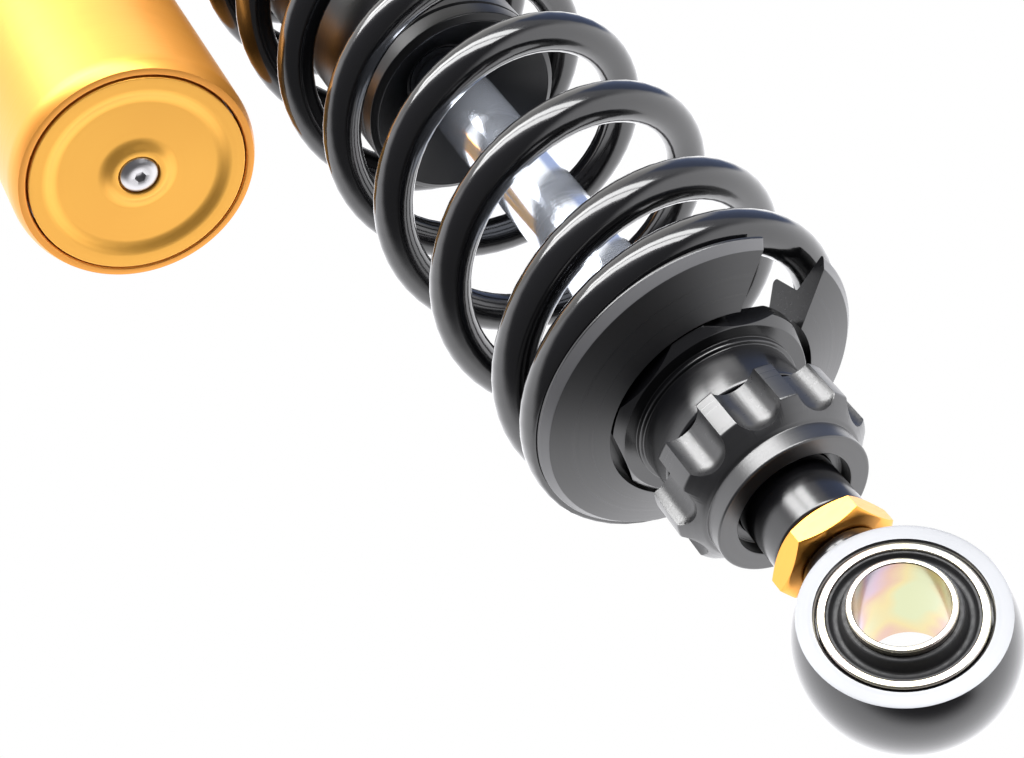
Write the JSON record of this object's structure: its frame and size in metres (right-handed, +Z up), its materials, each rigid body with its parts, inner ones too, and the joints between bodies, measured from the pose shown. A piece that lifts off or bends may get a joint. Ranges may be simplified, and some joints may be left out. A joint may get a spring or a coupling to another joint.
{
  "type": "motorcycle coilover shock absorber",
  "caption": "Coil spring damper with a piggyback reservoir, rubber-bushed eyes at both ends, a fluted rebound knob, a slotted spring seat and threaded preload rings.",
  "frame": {"origin": "centre of the top eye, on the axis of its bolt hole", "axes": "+Z up along the damper rod towards the top eye, +Y along both bolt holes, and the reservoir lies on the -X side"},
  "size_m": [0.1074, 0.0552, 0.364],
  "materials": {
    "spring_coat": "gloss black powder coat",
    "black_paint": "gloss black paint on cast aluminium",
    "black_anodised": "satin black anodised, turned",
    "grey_anodised": "dark grey anodised, turned and milled",
    "gold_anodised": "bright gold anodised",
    "chrome_rod": "hard chrome, ground and polished",
    "machined_steel": "machined bright steel",
    "plain_aluminium": "plain machined aluminium",
    "zinc_plate": "yellow zinc plated steel, slightly iridescent",
    "bronze_bush": "sintered bronze",
    "bush_rubber": "black rubber"
  },
  "bodies": {
    "damper_body": {"damper_tube": "black_anodised", "tube_end_cap": "black_anodised", "rod_wiper": "bush_rubber", "seal_head": "plain_aluminium", "rod_seal": "bush_rubber", "rod_guide_bush": "bronze_bush", "seal_head_o_ring": "bush_rubber", "head": "black_paint", "upper_bush_shell": "zinc_plate", "upper_bush_rubber": "bush_rubber", "reservoir_tube": "gold_anodised", "reservoir_cap": "gold_anodised", "reservoir_cap_clip": "machined_steel", "reservoir_cap_o_ring": "bush_rubber", "gas_valve_screw": "machined_steel", "main_spring": "spring_coat"},
    "rod_assembly": {"lower_eye": "black_paint", "lower_bush_shell": "zinc_plate", "lower_bush_rubber": "bush_rubber", "jam_nut": "gold_anodised", "rod_end_housing": "black_anodised", "lower_spring_seat": "black_anodised", "piston_rod": "chrome_rod", "top_out_bumper": "bush_rubber", "rebound_shims": "machined_steel", "compression_shims": "machined_steel", "piston": "machined_steel", "piston_band": "bronze_bush", "piston_nut": "machined_steel"},
    "rebound_adjuster": {"rebound_knob": "grey_anodised"},
    "rebound_rod": {"rebound_cross_pin": "machined_steel", "rebound_needle": "machined_steel"},
    "lower_sleeve": {"lower_bush_sleeve": "zinc_plate"},
    "upper_sleeve": {"upper_bush_sleeve": "zinc_plate"},
    "upper_seat": {"upper_spring_seat": "black_anodised"},
    "preload_collar": {"preload_ring": "black_anodised", "preload_lock_ring": "black_anodised"},
    "gas_piston": {"floating_piston": "plain_aluminium", "floating_piston_o_ring": "bush_rubber"},
    "compression_adjuster": {"compression_knob": "grey_anodised", "compression_valve_stem": "machined_steel"}
  },
  "joints": [
    {"name": "rod_slide", "type": "slide", "parent": "damper_body", "child": "rod_assembly", "axis": [0, 0, 1], "range_m": [0, 0.055], "stiffness_N_per_m": 20000, "springref_m": -0.008, "deforming": ["main_spring"]},
    {"name": "gas_piston_slide", "type": "slide", "parent": "damper_body", "child": "gas_piston", "axis": [0, 0, 1], "range_m": [-0.007, 0]},
    {"name": "rebound_knob_turn", "type": "hinge", "parent": "rod_assembly", "child": "rebound_adjuster", "pos_m": [0, 0, -0.301], "axis": [0, 0, 1], "range_deg": [-270, 270]},
    {"name": "rebound_needle_slide", "type": "slide", "parent": "rod_assembly", "child": "rebound_rod", "axis": [0, 0, 1], "range_m": [-0.0008, 0.0008]},
    {"name": "lower_sleeve_twist", "type": "hinge", "parent": "rod_assembly", "child": "lower_sleeve", "pos_m": [0, 0, -0.335], "axis": [0, 1, 0], "range_deg": [-15, 15], "stiffness_Nm_per_rad": 4},
    {"name": "upper_sleeve_twist", "type": "hinge", "parent": "damper_body", "child": "upper_sleeve", "pos_m": [0, 0, 0], "axis": [0, 1, 0], "range_deg": [-15, 15], "stiffness_Nm_per_rad": 4},
    {"name": "upper_seat_slide", "type": "slide", "parent": "damper_body", "child": "upper_seat", "axis": [0, 0, 1], "range_m": [0, 0.0016]},
    {"name": "preload_ring_turn", "type": "hinge", "parent": "upper_seat", "child": "preload_collar", "pos_m": [0, 0, -0.0825], "axis": [0, 0, 1], "range_deg": [0, 360]},
    {"name": "compression_knob_turn", "type": "hinge", "parent": "damper_body", "child": "compression_adjuster", "pos_m": [-0.0556, 0, -0.023], "axis": [0, 0, 1], "range_deg": [-270, 270]}
  ],
  "couplings": [
    {"joint": "gas_piston_slide", "follows": "rod_slide", "ratio": -0.1081},
    {"joint": "rebound_needle_slide", "follows": "rebound_knob_turn", "m_per_rad": 0.00015915},
    {"joint": "upper_seat_slide", "follows": "preload_ring_turn", "m_per_rad": 0.00023873}
  ]
}
